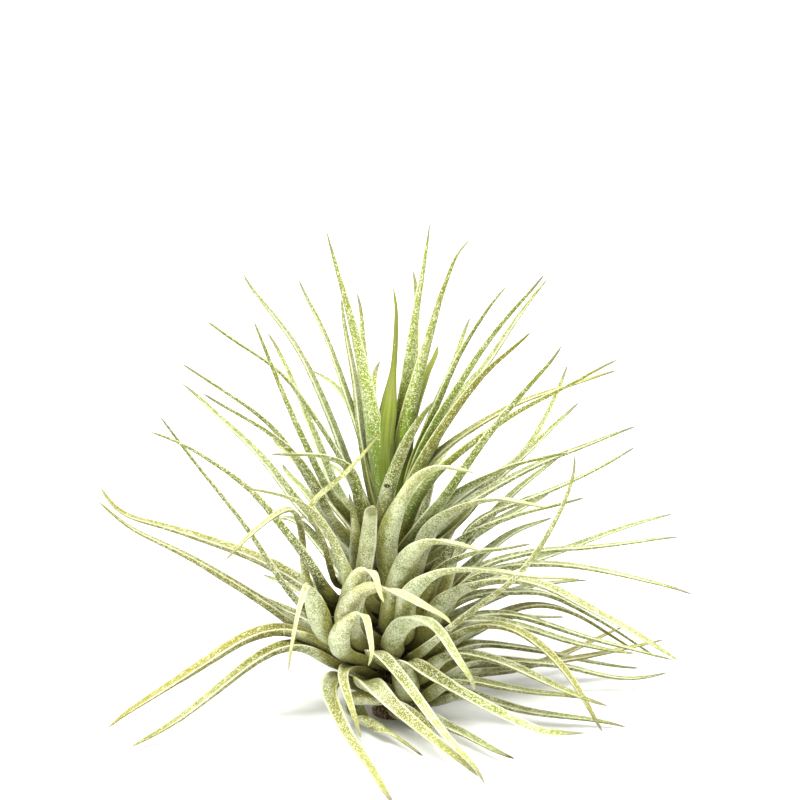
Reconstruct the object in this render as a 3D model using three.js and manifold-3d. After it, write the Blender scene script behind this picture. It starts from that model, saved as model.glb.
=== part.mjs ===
// An air plant: a rosette of narrow channelled leaves round a short woody stem.
// Millimetres, +Z up. The origin is the middle of the flat end of the stem, which
// stands on the surface with the tips of the lowest leaves round it.
import * as THREE from 'three';
import { mergeVertices } from 'three/addons/utils/BufferGeometryUtils.js';
import Module from 'manifold-3d';

const wasm = await Module();
wasm.setup();

// ---- driving dimensions -----------------------------------------------------------
const GAP = 0.32;                        // clear space that touching pieces keep

const STEM_FOOT = 4.7;                   // radius of the flat end
const STEM_WAIST = 3.6;                  // radius where the first leaves clasp it
const STEM_HEIGHT = 15;                  // of the woody part; the green heart goes on
const AXIS_TOP = 2.7;                    // radius of the heart's axis at the last roots

const ROOT_LOW = 2.2;                    // first and last leaf roots up the stem
const ROOT_HIGH = 25.6;
const ROOT_SEAT = 0.75;                  // middle of a root from the face of the stem
const ROOT_SUNK = 1.6;                   // the far leaves start inside the heart's axis
const ROOT_OUT = 3.2;                    // straight start of a leaf, outward
const ROOT_RISE = 0.42;                  // and how steeply it climbs there
const GOLDEN_ANGLE = 137.508 * Math.PI / 180;

const HEART_FOOT = STEM_HEIGHT + GAP;    // the growing tip stands on the stem
const HEART_TIP = 47;
const HEART_ROOT_LOW = 29.5;             // young roots up the growing tip
const HEART_ROOT_HIGH = 43;
const HEART_ROOT_DEPTH = 0.8;            // their place from its axis, sunk well in

const LEAF_ROOT_WIDTH = 3;               // across the blade where it meets the stem
const SHEATH_LENGTH = 14;                // from the root to the widest place
const SHEATH_WIDTH = 5;                  // usual width there
const YOUNG_WIDTH_LOW = 4.2;             // the same of the lowest young leaf
const YOUNG_WIDTH_HIGH = 2.8;            // and of the innermost
const LEAF_TIP_WIDTH = 0.8;
const TAPER = 1.6;                       // above 1 a blade narrows fast, then slowly
const LEAF_THICKNESS = 1.3;              // at the widest place, on the midline
const EDGE_THICKNESS = 0.6;              // at both edges, and of the whole tip
const CHANNEL = 0.2;                     // depth of the channel for each unit of width
const STATIONS = 10;                     // sections along a blade
const BEND_PACE = 9;                     // length that one radian of bend counts for

const STEM_ROOM = 2.2;                   // every later section from the stem
const FLOOR_CLEAR = 0.55;                // midline of the lowest tips above the surface

// The leaves are laid out as they are seen from the front, from a little above:
// [across, up, depth], where across and up are measured in the plane of the stem
// from the foot of the stem, and depth runs away from the eye.
const EYE_TILT = 12 * Math.PI / 180;
const EYE_DISTANCE = 400;
const EYE_AIM = { x: 1.5, z: 69.6 };     // point that the middle of the view looks at
const FOOT_DROP = 65.7;                  // foot of the stem below that point, as seen

const GREY_GREEN = 0xa3ad86;
const OLIVE_GREEN = 0x8c8d4e;
const YOUNG_GREEN = 0x8fae55;
const WOODY_BROWN = 0x6b5a44;
const OLIVE_LEAVES = ['left_8', 'right_14', 'right_17', 'right_21'];

// ---- where every leaf goes --------------------------------------------------------
// Young leaves of the heart: the place where each comes free, places on its way, tip.
const YOUNG = [
  [[-2, 53, -4], [0, 72, -5], [1, 89, -6]],
  [[2, 60, -1], [4, 79, 1], [8, 103, 3]],
  [[3, 61, -3], [9, 84, -6], [15, 100, -9]],
  [[4, 66, 4], [5, 80, 8], [5, 93, 12]],
  [[4, 62, 6], [7, 71, 12], [10, 77, 20]],
  [[5, 55, -2], [16, 79, -3], [23, 89, -5]],
  [[8, 62, 7], [13, 74, 14], [16, 83, 20]],
  [[-3, 53, -3], [-8, 80, -6], [-14, 101, -10]],
  [[-5, 51, 2], [-8, 70, 5], [-11, 87, 8]],
  [[-4, 58, 5], [-6, 75, 12], [-7, 88, 18]],
  [[-6, 56, 3], [-14, 79, 8], [-20, 91, 12]],
  [[-5, 55, 6], [-10, 66, 18], [-16, 72, 32]],
  [[-7, 46, 3], [-18, 73, 8], [-32, 92, 12]],
  [[-7, 47, -1], [-22, 70, -2], [-39, 82, -4]],
  [[-12, 45, -7], [-19, 58, -11], [-29, 82, -16]],
  [[-11, 45, 9], [-17, 60, 17], [-26, 80, 26]],
  [[-16, 40, 12], [-29, 55, 24], [-44, 69, 34]],
  [[-6, 40, -9], [-9, 51, -15], [-14, 54, -21], [-25, 54, -34]],
  [[-12, 40, -5], [-25, 60, -9], [-44, 73, -14]],
  [[-11, 38, -8], [-21, 55, -19], [-40, 67, -30]],
  [[7, 57, -4], [22, 81, -8], [32, 92, -12]],
  [[8, 56, 3], [22, 77, 10], [32, 91, 16]],
  [[6, 52, -6], [18, 70, -14], [29, 80, -22]],
  [[-2, 40, -10], [1.5, 54, -17], [8, 65, -30]],
  [[9, 43, -9], [22, 61, -20], [36, 77, -30]],
  [[7, 48, -6], [24, 62, -12], [47, 74, -20]],
  [[7, 52, 2], [24, 64, 4], [47, 72, 6]],
  [[13, 40, 8], [25, 52, 17], [39, 65, 26]],
  [[12, 44, 10], [28, 55, 26], [37, 73, 38]],
  [[10, 44, -6], [22, 51, -17], [37, 55, -32]],
  [[13, 42, 3], [32, 53, 9], [51, 60, 14]],
  [[-3, 44, 8], [-5, 56, 24], [-7, 66, 40]],
  [[4, 42, 9], [9, 52, 28], [14, 58, 46]],
  [[-9, 40, 9], [-18, 50, 26], [-26, 58, 42]],
  [[10, 40, 9], [20, 49, 28], [30, 56, 42]],
  [[1, 36, 10], [2, 46, 28], [3, 51, 50]],
  [[-11, 37, 6], [-18, 46, 19], [-24, 52, 33]],
  [[13, 35, 7], [25, 42, 20], [33, 46, 32]],
  [[-2, 51, 6], [-4, 64, 17], [-4, 74, 29]],
  [[5, 51, 6], [12, 64, 17], [18, 72, 28]],
];

// Leaves of the far side, one body with the heart. root: [place it leaves the bulb, ...]
const FAR = {
  45: [[6, 27, 12], [12, 41, 30], [18, 46, 48]],
  48: [[-7, 27, 12], [-15, 40, 27], [-22, 41, 45]],
  50: [[13, 28, 8], [24, 37, 18], [33, 41, 30]],
  53: [[0, 29, 13], [1, 43, 31], [-2, 45, 52]],
  56: [[-11, 30, 9], [-20, 40, 19], [-26, 41, 32]],
  58: [[8, 31, 11], [17, 46, 27], [28, 53, 42]],
  61: [[-4, 32, 12], [-8, 47, 28], [-14, 53, 46]],
  63: [[13, 33, 5], [25, 46, 12], [35, 54, 20]],
  66: [[4, 34, 12], [8, 50, 28], [10, 58, 46]],
};

// Older leaves. name: [sheath width, place where it leaves the bulb, places, tip]
const OUTER = {
  left_1: [4.8, [-17, 20, -7], [-30, 38, -11], [-41, 52, -14], [-49, 62, -16]],
  left_2: [5.0, [-12, 25, -11], [-19, 37, -14], [-30, 48, -16], [-43, 56, -17], [-51, 59, -16]],
  left_3: [5.2, [-13, 25, -10], [-17, 35, -14], [-22, 42, -20], [-28, 39, -28], [-35, 32, -38]],
  left_4: [4.8, [-10, 26, -13], [-12, 32, -15], [-15, 40, -19], [-21, 45, -26], [-31, 47, -40]],
  left_5: [4.6, [-12, 25, -10], [-15, 36, -14], [-18.5, 43, -16], [-13, 48, -17], [-3, 59, -20]],
  left_6: [4.8, [-18, 17, -3], [-28, 24, -4], [-45, 34, -6], [-54, 38, -6], [-62, 44, -6]],
  left_7: [4.8, [-18, 27, 8], [-32, 34, 14], [-48, 39, 19], [-57, 42, 22], [-62, 47, 24]],
  left_8: [4.8, [-13, 14, -7], [-20, 17, -8], [-28, 16.5, -9], [-42, 9, -10], [-60, -3, -9]],
  left_9: [4.8, [-13, 10, -8], [-19, 14, -10], [-25, 13.5, -12], [-40, 2.5, -17], [-55, -8, -21]],
  left_10: [5.4, [-12, 16, -11], [-16, 25, -17], [-18, 27, -22], [-20, 20, -32], [-22, 9, -42]],
  right_1: [5.6, [-1, 26, -12], [3, 33, -18], [8, 36, -25], [14, 35.5, -36], [18, 34, -46]],
  right_2: [5.6, [-2, 33, -11], [0, 41, -14], [4, 48, -18], [9, 51.5, -25], [17, 50.5, -44]],
  right_3: [5.0, [2, 25, -13], [8, 30, -20], [14, 31, -26], [29, 29, -36], [39, 28, -42]],
  right_4: [5.0, [6, 33, -10], [10, 41, -14], [16, 44, -19], [23, 45, -28], [32, 43, -42]],
  right_5: [4.8, [12, 35, -8], [24, 41, -18], [32, 43, -25], [40, 45, -32]],
  right_6: [4.8, [14, 36, 5], [30, 45, 9], [39, 49, 11], [51, 56, 12]],
  right_7: [4.8, [9, 15, -14], [18, 22, -22], [29, 32, -31], [37, 46, -38], [39, 54, -41]],
  right_8: [4.8, [16, 28, 9], [35, 34, 17], [46, 38, 21], [59, 42, 26]],
  right_9: [4.8, [13, 30, 2], [27, 34, 4], [44, 35, 6], [60, 37, 8]],
  right_10: [5.0, [8, 28, -13], [16, 33, -30], [28, 35, -50]],
  right_11: [4.8, [13, 28, -6], [27, 31.5, -9], [44, 30, -12], [63, 25, -14]],
  right_12: [5.0, [9, 23, -11], [20, 28, -17], [31, 27, -22], [45, 20, -26], [60, 11, -28]],
  right_13: [4.8, [15, 24, 6], [28, 26, 12], [37, 23, 17], [55, 12, 21]],
  right_14: [4.8, [15, 20, 8], [28, 23, 13], [38, 21, 18], [51, 13, 24]],
  right_15: [4.8, [12, 20, 4], [24, 21, 8], [37, 17, 12], [59, 11, 15]],
  right_16: [4.8, [12, 19, -3], [24, 19, -5], [37, 15, -8], [51, 12, -10]],
  right_17: [4.6, [14, 9, 9], [25, 9, 16], [35, 12, 23], [48, 18, 32]],
  right_18: [4.6, [14, 10, 6], [31, 11, 12], [45, 13, 17], [57, 15, 21]],
  right_19: [4.6, [15, 14, 8], [28, 13, 13], [39, 11, 17], [52, 9, 20]],
  right_20: [4.6, [14, 10, 5], [38, 9, 10], [50, 7, 12], [58, 8, 13]],
  right_21: [5.0, [10, 14, -8], [18, 18, -13], [27, 17, -18], [36, 9, -21], [44, -4, -18]],
  right_22: [5.0, [10, 14, -11], [23, 11, -18], [33, 6, -22], [45, 1, -24]],
  right_23: [4.8, [11, 7, -8], [25, 5, -14], [41, 3, -18]],
  right_24: [4.8, [13, 5, -6], [25, 1, -8], [38, -1, -9], [49, -3, -10]],
  right_25: [5.2, [1, 13, -14], [10, 7, -20], [19, 2, -26], [31, -4, -29], [40, -4, -28]],
  right_26: [4.8, [7, -1, -12], [15, -4.5, -22], [25, -10, -32]],
  front_1: [5.2, [-6, 26, -12], [-5, 37, -15], [-4.5, 42.5, -19], [-4.5, 43, -27]],
  front_2: [3.4, [-8, 32, -11], [-8, 40, -14], [-9, 46, -20]],
  front_3: [5.6, [-11, 19, -13], [-9, 26, -17], [-6, 30.5, -22], [-3.5, 29, -28], [-3, 23, -36]],
  front_4: [5.6, [-9, 15, -13], [-9, 22, -17], [-6, 26, -21], [-1, 26.5, -27], [6, 22.5, -36], [13, 19, -46]],
  front_5: [5.4, [-9, 13, -14], [-9, 19, -19], [-6, 21, -25], [-5, 17, -34], [-4, 10, -46]],
  front_6: [5.6, [-2, 13, -13], [1, 18, -18], [5, 20, -24], [9, 18, -31], [13, 12, -39], [18, 5, -48]],
  front_7: [5.2, [-7, 14, -13], [-4, 14.5, -17], [-1, 12, -21], [4, 5, -27], [12, -6, -36], [20, -14, -42]],
  front_8: [5.4, [-6.5, 10, -12], [-4, 8, -17], [1, 1.5, -24], [10, -7, -33], [18, -13, -38]],
  front_9: [4.6, [-9, 3, -10], [-4, 3.6, -15], [4, 0.4, -21], [10, -6, -28]],
  front_10: [4.6, [-8, 1, -9], [-1, -4, -20], [6, -9, -28]],
  front_11: [5.4, [-12, 9, -11], [-13, 5, -16], [-11, -1, -24], [-5, -11, -37], [0, -19, -50]],
  front_12: [4.6, [-9, 12, -14], [-10, 8.5, -19], [-9.5, 4, -24], [-7, -5, -31]],
  left_11: [4.8, [-14, 18, 6], [-28, 24, 13], [-46, 34, 24]],
  back_1: [4.8, [-3, 20, 12], [-6, 27, 32], [-9, 27, 56]],
  back_2: [4.8, [5, 20, 12], [10, 26, 32], [14, 25, 56]],
  back_3: [4.8, [-10, 18, 9], [-19, 25, 24], [-27, 29, 42]],
  back_4: [4.8, [0, 14, 11], [0, 22, 34], [-2, 19, 58]],
  back_5: [4.8, [12, 14, 9], [24, 20, 28], [36, 20, 46]],
  back_6: [4.8, [-9, 11, 9], [-15, 17, 26], [-17, 20, 44]],
  back_7: [4.8, [8, 8, 9], [14, 14, 30], [18, 17, 50]],
  back_8: [4.8, [-6, 8, 9], [-10, 13, 28], [-10, 16, 46]],
  back_9: [4.8, [13, 20, 8], [27, 26, 24], [40, 28, 40]],
};

// ---- small helpers ----------------------------------------------------------------
const vector = (x, y, z) => new THREE.Vector3(x, y, z);
const mix = (a, b, t) => a + (b - a) * t;
const clamp01 = (t) => Math.min(1, Math.max(0, t));
const smooth = (t) => t * t * (3 - 2 * t);
const azimuth = (p) => Math.atan2(p.y, p.x);
const turnBetween = (a, b) => Math.abs(Math.atan2(Math.sin(a - b), Math.cos(a - b)));
const around = (radius, turn, z) => vector(radius * Math.cos(turn), radius * Math.sin(turn), z);

// The place in space of a point seen at (across, up) and lying at a depth.
function seen([across, up, depth]) {
  const right = (across - EYE_AIM.x) / EYE_DISTANCE;
  const rise = (up - FOOT_DROP) / EYE_DISTANCE;
  const cos = Math.cos(EYE_TILT);
  const sin = Math.sin(EYE_TILT);
  const z = (rise * (EYE_DISTANCE + depth * cos) - depth * sin) / (cos + rise * sin);
  const reach = EYE_DISTANCE + depth * cos - z * sin;
  return vector(EYE_AIM.x + right * reach, depth, EYE_AIM.z + z);
}

// A smooth line through the places. Its points crowd a little where it bends.
function blade(places) {
  const fine = new THREE.CatmullRomCurve3(places, false, 'centripetal').getPoints(160);
  const pace = [0];
  for (let i = 1; i < fine.length; i++) {
    const step = fine[i].clone().sub(fine[i - 1]);
    const turn = i > 1 ? step.angleTo(fine[i - 1].clone().sub(fine[i - 2])) : 0;
    pace.push(pace[i - 1] + step.length() + BEND_PACE * turn);
  }
  const points = [];
  let k = 0;
  for (let i = 0; i < STATIONS; i++) {
    const goal = pace[pace.length - 1] * i / (STATIONS - 1);
    while (k < pace.length - 2 && pace[k + 1] < goal) k++;
    points.push(fine[k].clone().lerp(fine[k + 1], (goal - pace[k]) / (pace[k + 1] - pace[k])));
  }
  return points;
}

// ---- roots ------------------------------------------------------------------------
const AGE_AIM = 16;                      // height on the axis that leaf slopes are read from
const AGE_WEIGHT = 0.0035;               // what a root of another age costs, against turning

// Old leaves slope least.
const slope = ({ places: [, place] }) => Math.atan2(place.z - AGE_AIM, Math.hypot(place.x, place.y));

// Roots climb the stem in a golden-angle spiral, oldest lowest. Each leaf takes a root
// of about its own age that faces its way: leaves swap roots while that turns them less.
const ROOT_COUNT = Object.keys(OUTER).length + Object.keys(FAR).length;
const rootAt = (i) => ({ turn: i * GOLDEN_ANGLE, z: mix(ROOT_LOW, ROOT_HIGH, i / (ROOT_COUNT - 1)) });

function dealRoots(leaves) {
  leaves.sort((a, b) => slope(a) - slope(b));
  const last = leaves.length - 1;
  const free = [...Array(ROOT_COUNT).keys()].filter((i) => !(i in FAR));
  const roots = free.map(rootAt);
  const held = leaves.map((_, i) => i);
  const cost = (leaf, root) => turnBetween(azimuth(leaves[leaf].places[0]), roots[root].turn) ** 2
    + AGE_WEIGHT * (leaf - root) ** 2;
  for (let swapped = true; swapped;) {
    swapped = false;
    for (let i = 0; i < last; i++) {
      for (let j = i + 1; j <= last; j++) {
        const saved = cost(i, held[i]) + cost(j, held[j]) - cost(i, held[j]) - cost(j, held[i]);
        if (saved < 1e-6) continue;
        [held[i], held[j]] = [held[j], held[i]];
        swapped = true;
      }
    }
  }
  leaves.forEach((leaf, i) => { leaf.root = roots[held[i]]; });
}

const axisRadius = (z) => mix(STEM_WAIST, AXIS_TOP, z / ROOT_HIGH);

// A leaf starts beside the stem, outward and a little up, and then bends its own way.
function rooted({ places }, { turn, z }, seat) {
  const start = axisRadius(z) + seat;
  const rising = around(axisRadius(z) + ROOT_SEAT + ROOT_OUT, turn, z + ROOT_OUT * ROOT_RISE);
  return blade([around(start, turn, z), rising, ...places]);
}

function outerLeaves() {
  const leaves = Object.entries(OUTER).map(([name, [width, ...rows]]) => (
    { name, width, places: rows.map(seen), free: true }));
  dealRoots(leaves);
  for (const leaf of leaves) leaf.line = rooted(leaf, leaf.root, ROOT_SEAT);
  return leaves;
}

function farLeaves() {
  return Object.entries(FAR).map(([root, rows]) => {
    const leaf = { width: SHEATH_WIDTH, places: rows.map(seen), free: false };
    return { ...leaf, line: rooted(leaf, rootAt(Number(root)), -ROOT_SUNK) };
  });
}

function youngLeaves() {
  const leaves = YOUNG.map((rows) => ({ places: rows.map(seen), free: false }));
  leaves.sort((a, b) => a.places[0].z - b.places[0].z);
  leaves.forEach((leaf, i) => {
    const youth = i / (leaves.length - 1);
    const turn = azimuth(leaf.places[0]);
    leaf.width = mix(YOUNG_WIDTH_LOW, YOUNG_WIDTH_HIGH, youth);
    const root = around(HEART_ROOT_DEPTH, turn, mix(HEART_ROOT_LOW, HEART_ROOT_HIGH, youth));
    leaf.line = blade([root, ...leaf.places]);
  });
  return leaves;
}

// ---- sections of a blade ----------------------------------------------------------
function widthAt(leaf, distance, length) {
  if (distance < SHEATH_LENGTH) {
    return mix(LEAF_ROOT_WIDTH, leaf.width, smooth(distance / SHEATH_LENGTH));
  }
  const left = 1 - (distance - SHEATH_LENGTH) / (length - SHEATH_LENGTH);
  return mix(LEAF_TIP_WIDTH, leaf.width, Math.max(0, left) ** TAPER);
}

// The frame of every section: along the blade, across it, and up out of its inner face.
function measure(leaf) {
  const { line } = leaf;
  const last = line.length - 1;
  const turn = azimuth(line[2]);
  let distance = 0;
  leaf.sections = line.map((point, i) => {
    if (i > 0) distance += point.distanceTo(line[i - 1]);
    const along = line[Math.min(i + 1, last)].clone().sub(line[Math.max(i - 1, 0)]).normalize();
    const across = vector(Math.sin(turn), -Math.cos(turn), 0);
    across.addScaledVector(along, -across.dot(along)).normalize();
    return { point, along, across, up: across.clone().cross(along), distance };
  });
  for (const section of leaf.sections) {
    const { width } = Object.assign(section, { width: widthAt(leaf, section.distance, distance) });
    const fullness = clamp01((width - LEAF_TIP_WIDTH) / (SHEATH_WIDTH - LEAF_TIP_WIDTH));
    section.thickness = mix(EDGE_THICKNESS, LEAF_THICKNESS, fullness);
    section.dip = CHANNEL * (width - LEAF_TIP_WIDTH);
  }
}

// ---- leaves bent clear of each other ----------------------------------------------
const NESTING = 0.5;                     // share of a channel that its neighbour can't fill
const SPAN = 1.2;                        // stretch of blade that one section stands for
const SPARE = 0.1;                       // a little more than the gap
const NEAR = 6;                          // sections further apart than this are clear
const FINE = 4;                          // places compared between two sections
const BEND_ROUNDS = 80;
const BEND_SHARE = 0.8;

const reachOf = (s, axis) => s.width / 2 * Math.abs(s.across.dot(axis))
  + (s.thickness + NESTING * s.dip) / 2 * Math.abs(s.up.dot(axis)) + SPAN * Math.abs(s.along.dot(axis));

// The clear distance of two sections, and the direction in which they lie apart most.
function clearance(a, b) {
  const apart = b.point.clone().sub(a.point);
  let best = { gap: -Infinity };
  for (const axis of [a.up, b.up, a.across, b.across, apart.clone().normalize()]) {
    const side = apart.dot(axis);
    const gap = Math.abs(side) - reachOf(a, axis) - reachOf(b, axis);
    if (gap > best.gap) best = { gap, push: axis.clone().multiplyScalar(side < 0 ? -1 : 1) };
  }
  return best;
}

function fineSections({ sections }) {
  const fine = [];
  for (let i = 0; i + 1 < sections.length; i++) {
    const [a, b] = [sections[i], sections[i + 1]];
    for (let t = 0; t < 1; t += 1 / FINE) {
      fine.push({
        nearest: Math.round(i + t),
        point: a.point.clone().lerp(b.point, t),
        along: a.along.clone().lerp(b.along, t).normalize(),
        across: a.across.clone().lerp(b.across, t).normalize(),
        up: a.up.clone().lerp(b.up, t).normalize(),
        width: mix(a.width, b.width, t),
        thickness: mix(a.thickness, b.thickness, t),
        dip: mix(a.dip, b.dip, t),
      });
    }
  }
  return fine;
}

function nudge(leaf, section, push, amount) {
  if (!leaf.free) return;
  leaf.shifts[section.nearest].addScaledVector(push, amount);
  leaf.counts[section.nearest] += 1;
}

// Both leaves of a pair that is too close are pushed apart, a young one not at all.
function part(p, q) {
  let worst = 0;
  for (const a of p.fine) {
    for (const b of q.fine) {
      if (a.point.distanceToSquared(b.point) > NEAR * NEAR) continue;
      const { gap, push } = clearance(a, b);
      const missing = GAP + SPARE - gap;
      if (missing <= 0) continue;
      worst = Math.max(worst, missing);
      nudge(p, a, push, -missing * (q.free ? 0.5 : 1));
      nudge(q, b, push, missing * (p.free ? 0.5 : 1));
    }
  }
  return worst;
}

// A shift is shared with the sections beside it, dies out at the root and goes on to
// the tip, so that the blade bends and doesn't kink. Then it clears stem and floor.
function settle(leaf) {
  const shifts = leaf.shifts.map((shift, i) => shift.divideScalar(Math.max(1, leaf.counts[i])));
  for (let pass = 0; pass < 3; pass++) {
    const before = shifts.map((shift) => shift.clone());
    for (let i = 1; i < shifts.length; i++) {
      const next = before[Math.min(i + 1, shifts.length - 1)];
      shifts[i].copy(before[i - 1]).addScaledVector(before[i], 2).add(next).divideScalar(4);
    }
    shifts[0].set(0, 0, 0);
  }
  leaf.line.slice(1).forEach((point, i) => {
    point.addScaledVector(shifts[i + 1], BEND_SHARE);
    point.z = Math.max(point.z, FLOOR_CLEAR);
    const short = Math.max(1, (STEM_WAIST + STEM_ROOM) / Math.hypot(point.x, point.y));
    point.set(point.x * short, point.y * short, point.z);
  });
  measure(leaf);
}

function bendClear(leaves) {
  leaves.forEach(measure);
  for (let round = 0; round < BEND_ROUNDS; round++) {
    for (const leaf of leaves) {
      leaf.fine = fineSections(leaf);
      leaf.box = new THREE.Box3().setFromPoints(leaf.line).expandByScalar(NEAR / 2);
      leaf.shifts = leaf.line.map(() => vector(0, 0, 0));
      leaf.counts = leaf.line.map(() => 0);
    }
    let worst = 0;
    leaves.forEach((p, i) => {
      for (const q of leaves.slice(i + 1)) {
        if ((p.free || q.free) && p.box.intersectsBox(q.box)) worst = Math.max(worst, part(p, q));
      }
    });
    leaves.filter((leaf) => leaf.free).forEach(settle);
    if (worst < 0.02) break;
  }
}

// ---- solids -----------------------------------------------------------------------
const SIDES = 6;
const CAP = 0.3;                         // the tip's end stands out this much

// Six corners: two at each edge, one in the channel and one on the keel below it.
function ring({ point, across, up, width, thickness, dip }) {
  const at = (side, height) => point.clone().addScaledVector(across, side).addScaledVector(up, height);
  const half = width / 2;
  const edge = EDGE_THICKNESS / 2;
  return [at(-half, edge), at(-half, -edge), at(0, -thickness / 2 - dip),
    at(half, -edge), at(half, edge), at(0, thickness / 2 - dip)];
}

function loft({ sections }) {
  const points = sections.flatMap(ring);
  const first = sections[0];
  const last = sections[sections.length - 1];
  points.push(first.point.clone().addScaledVector(first.along, -CAP / 3));
  points.push(last.point.clone().addScaledVector(last.along, CAP));
  const [rootCap, tipCap] = [points.length - 2, points.length - 1];
  const end = (sections.length - 1) * SIDES;
  const faces = [];
  for (let k = 0; k < SIDES; k++) {
    const next = (k + 1) % SIDES;
    for (let row = 0; row < end; row += SIDES) {
      faces.push(row + k, row + SIDES + next, row + next);
      faces.push(row + k, row + SIDES + k, row + SIDES + next);
    }
    faces.push(rootCap, k, next);
    faces.push(tipCap, end + next, end + k);
  }
  const geometry = new THREE.BufferGeometry();
  geometry.setAttribute('position', new THREE.Float32BufferAttribute(points.flatMap((p) => p.toArray()), 3));
  geometry.setIndex(faces);
  return geometry;
}

function turned(outline, sides) {
  const lathe = new THREE.LatheGeometry(outline.map(([r, z]) => new THREE.Vector2(r, z)), sides);
  return lathe.rotateX(Math.PI / 2);
}

function solidOf(geometry) {
  const bare = geometry.clone();
  bare.deleteAttribute('normal');
  bare.deleteAttribute('uv');
  const merged = mergeVertices(bare, 1e-4);
  return new wasm.Manifold(new wasm.Mesh({
    numProp: 3,
    vertProperties: merged.attributes.position.array,
    triVerts: new Uint32Array(merged.index.array),
  }));
}

function geometryOf(solid) {
  const { vertProperties, triVerts } = solid.getMesh();
  const geometry = new THREE.BufferGeometry();
  geometry.setAttribute('position', new THREE.BufferAttribute(vertProperties, 3));
  geometry.setIndex(new THREE.BufferAttribute(triVerts, 1));
  return geometry;
}

// ---- the pieces -------------------------------------------------------------------
function stem() {
  return turned([
    [0, 0], [STEM_FOOT, 0], [STEM_FOOT, 1], [STEM_WAIST, 2],
    [axisRadius(STEM_HEIGHT), STEM_HEIGHT], [0, STEM_HEIGHT],
  ], 14);
}

// The green axis up to the growing tip, with the roots of its leaves sunk into it.
function heart(leaves) {
  const tip = turned([
    [0, HEART_FOOT], [axisRadius(HEART_FOOT), HEART_FOOT], [AXIS_TOP, ROOT_HIGH],
    [AXIS_TOP * 0.9, HEART_ROOT_HIGH], [AXIS_TOP / 2, HEART_TIP - 1.5], [0, HEART_TIP],
  ], 14);
  return geometryOf(leaves.reduce((whole, leaf) => whole.add(solidOf(loft(leaf))), solidOf(tip)));
}

const plant = new THREE.Group();

function add(name, geometry, color, roughness) {
  geometry.computeVertexNormals();
  const mesh = new THREE.Mesh(geometry, new THREE.MeshStandardMaterial({ color, roughness, metalness: 0 }));
  mesh.name = name;
  plant.add(mesh);
}

const outer = outerLeaves();
const inner = [...youngLeaves(), ...farLeaves()];
bendClear([...outer, ...inner]);

add('stem', stem(), WOODY_BROWN, 0.95);
add('heart', heart(inner), YOUNG_GREEN, 0.75);
for (const leaf of outer) {
  add(`leaf_${leaf.name}`, loft(leaf), OLIVE_LEAVES.includes(leaf.name) ? OLIVE_GREEN : GREY_GREEN, 0.85);
}

export default plant;
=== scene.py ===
# %% [markdown]
# # An air plant
# This notebook dresses the plain solids of an air plant: a rosette of channelled leaves,
# silvery with tiny scales, that arch out of a plump bulb round a short woody stem.
# The solids give every leaf its place. Here each one gets its real section, a hair-thin
# tip, its frost of scales and its colours.
# The first cell loads the solids and keeps their box, because the dressed plant may not
# outgrow it.

# %% Load the solids
import math
from types import SimpleNamespace

import bpy
import numpy as np
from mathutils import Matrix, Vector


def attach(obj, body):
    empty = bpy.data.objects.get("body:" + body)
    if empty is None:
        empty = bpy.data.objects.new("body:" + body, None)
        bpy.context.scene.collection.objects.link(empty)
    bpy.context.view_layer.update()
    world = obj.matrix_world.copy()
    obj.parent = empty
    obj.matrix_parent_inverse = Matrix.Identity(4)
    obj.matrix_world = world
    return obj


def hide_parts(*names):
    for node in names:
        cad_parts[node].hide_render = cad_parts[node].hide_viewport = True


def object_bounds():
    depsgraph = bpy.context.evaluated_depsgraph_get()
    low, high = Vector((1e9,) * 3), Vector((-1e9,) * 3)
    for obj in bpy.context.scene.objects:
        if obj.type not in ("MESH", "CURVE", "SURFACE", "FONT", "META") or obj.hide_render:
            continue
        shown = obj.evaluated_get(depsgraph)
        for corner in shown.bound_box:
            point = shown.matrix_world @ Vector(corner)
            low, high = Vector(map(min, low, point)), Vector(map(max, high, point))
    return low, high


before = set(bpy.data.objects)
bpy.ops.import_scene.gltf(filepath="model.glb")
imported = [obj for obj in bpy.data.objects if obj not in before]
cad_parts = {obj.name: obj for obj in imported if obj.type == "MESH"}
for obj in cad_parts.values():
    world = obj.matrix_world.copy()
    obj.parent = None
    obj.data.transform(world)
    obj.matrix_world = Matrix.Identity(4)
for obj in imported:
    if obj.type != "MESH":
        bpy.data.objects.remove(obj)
solid_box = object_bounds()
MM = 0.001                                   # one millimetre, in Blender's metres
print("solids:", len(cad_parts), "box:", solid_box)

# %% [markdown]
# ## Camera, floor and light
# The photograph looks down on the plant by 12 degrees from 400 mm away. The camera comes
# first, so that every later cell can be judged through it. Everything round the plant is
# white: a broad pale floor, a white world that fills the shadows, one soft sun high on the
# left that models the leaves, and a weak broad one on the right that lifts their shaded
# sides. A sun lights a floor of any size evenly, so the floor stays one pale tone.

# %% Camera
EYE_TILT = math.radians(12)
EYE_DISTANCE = 400.0
EYE_AIM = np.array([1.5, 0.0, 69.6])
FOOT_DROP = 65.7                             # foot of the stem below the aim, as seen
LENS, SENSOR = 85.5, 36.0

camera = bpy.data.objects.new("camera", bpy.data.cameras.new("camera"))
bpy.context.scene.collection.objects.link(camera)
camera.data.lens = LENS
camera.data.sensor_width = SENSOR
camera.data.clip_start = 0.01
back = np.array([0.0, -math.cos(EYE_TILT), math.sin(EYE_TILT)])
camera.location = (EYE_AIM + back * EYE_DISTANCE) * MM
camera.rotation_euler = (math.pi / 2 - EYE_TILT, 0, 0)
bpy.context.scene.camera = camera
print("camera at", [round(v, 4) for v in camera.location])


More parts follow.
